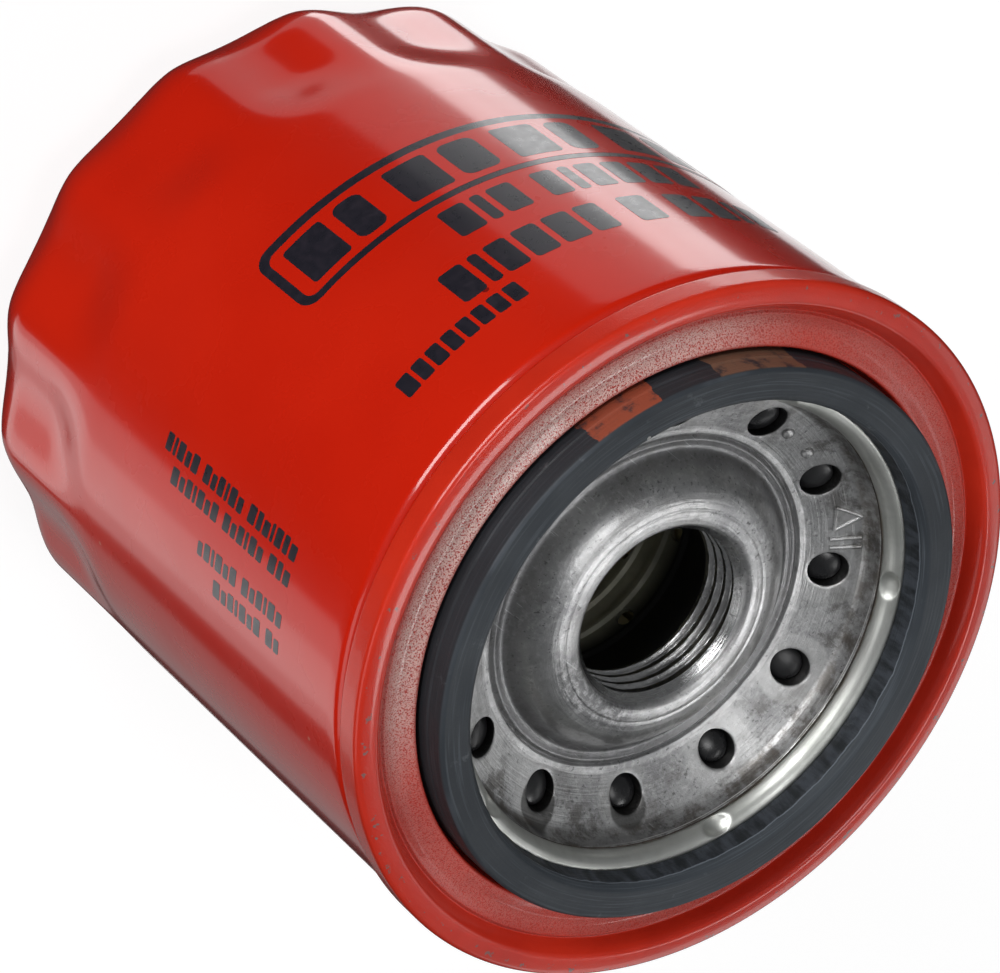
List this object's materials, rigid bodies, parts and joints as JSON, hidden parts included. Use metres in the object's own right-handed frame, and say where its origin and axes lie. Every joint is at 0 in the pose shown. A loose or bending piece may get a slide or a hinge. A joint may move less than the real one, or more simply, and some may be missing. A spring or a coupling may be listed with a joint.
{
  "type": "spin-on oil filter",
  "caption": "Spin-on oil filter: fluted red can seamed to a lid with sealing gasket, threaded base plate with inlet holes, pleated element and valves inside.",
  "frame": {"origin": "centre of the dome end's rest face, at the bottom of the standing filter", "axes": "+Z along the filter's axis, out of the threaded end and towards the engine; -Y is the side that the picture's camera is on"},
  "size_m": [0.077, 0.077, 0.084],
  "materials": {
    "can_paint": "gloss red enamel",
    "lid_paint": "red enamel, thin and speckled near the gasket",
    "compound": "matt sealing compound",
    "plate_steel": "bare pressed steel, lightly stained",
    "gasket_rubber": "dark blue-grey nitrile, matt",
    "valve_rubber": "black nitrile, oily sheen",
    "cap_steel": "tinned steel sheet",
    "potting": "cured plastisol",
    "media_paper": "resin-treated filter paper",
    "clip_steel": "bright steel strip",
    "tube_steel": "perforated steel tube",
    "bypass_steel": "yellow passivated steel",
    "poppet_nylon": "natural nylon",
    "spring_steel": "oiled spring wire"
  },
  "bodies": {
    "housing": {"can": "can_paint", "seaming_lid": "lid_paint", "seam_compound": "compound", "base_plate": "plate_steel", "sealing_gasket": "gasket_rubber", "spring_seat": "cap_steel", "element_spring": "spring_steel"},
    "drainback_flap": {"anti_drainback_valve": "valve_rubber"},
    "element": {"upper_end_cap": "cap_steel", "upper_potting": "potting", "filter_media": "media_paper", "media_seam_clip": "clip_steel", "centre_tube": "tube_steel", "lower_potting": "potting", "lower_end_cap": "cap_steel", "bypass_seat": "bypass_steel", "bypass_cage": "bypass_steel"},
    "bypass": {"bypass_poppet": "poppet_nylon", "bypass_seal": "valve_rubber", "bypass_spring": "spring_steel"}
  },
  "joints": [
    {"name": "drainback_flap_flex", "type": "slide", "parent": "housing", "child": "drainback_flap", "axis": [0, 0, -1], "range_m": [0, 0.0012], "stiffness_N_per_m": 300, "springref_m": -0.001, "deforming": ["anti_drainback_valve"]},
    {"name": "element_slide", "type": "slide", "parent": "housing", "child": "element", "axis": [0, 0, -1], "range_m": [0, 0.002], "stiffness_N_per_m": 4000, "springref_m": -0.004, "deforming": ["element_spring"]},
    {"name": "bypass_lift", "type": "slide", "parent": "element", "child": "bypass", "axis": [0, 0, 1], "range_m": [0, 0.003], "stiffness_N_per_m": 2000, "springref_m": -0.006, "deforming": ["bypass_spring"]}
  ]
}
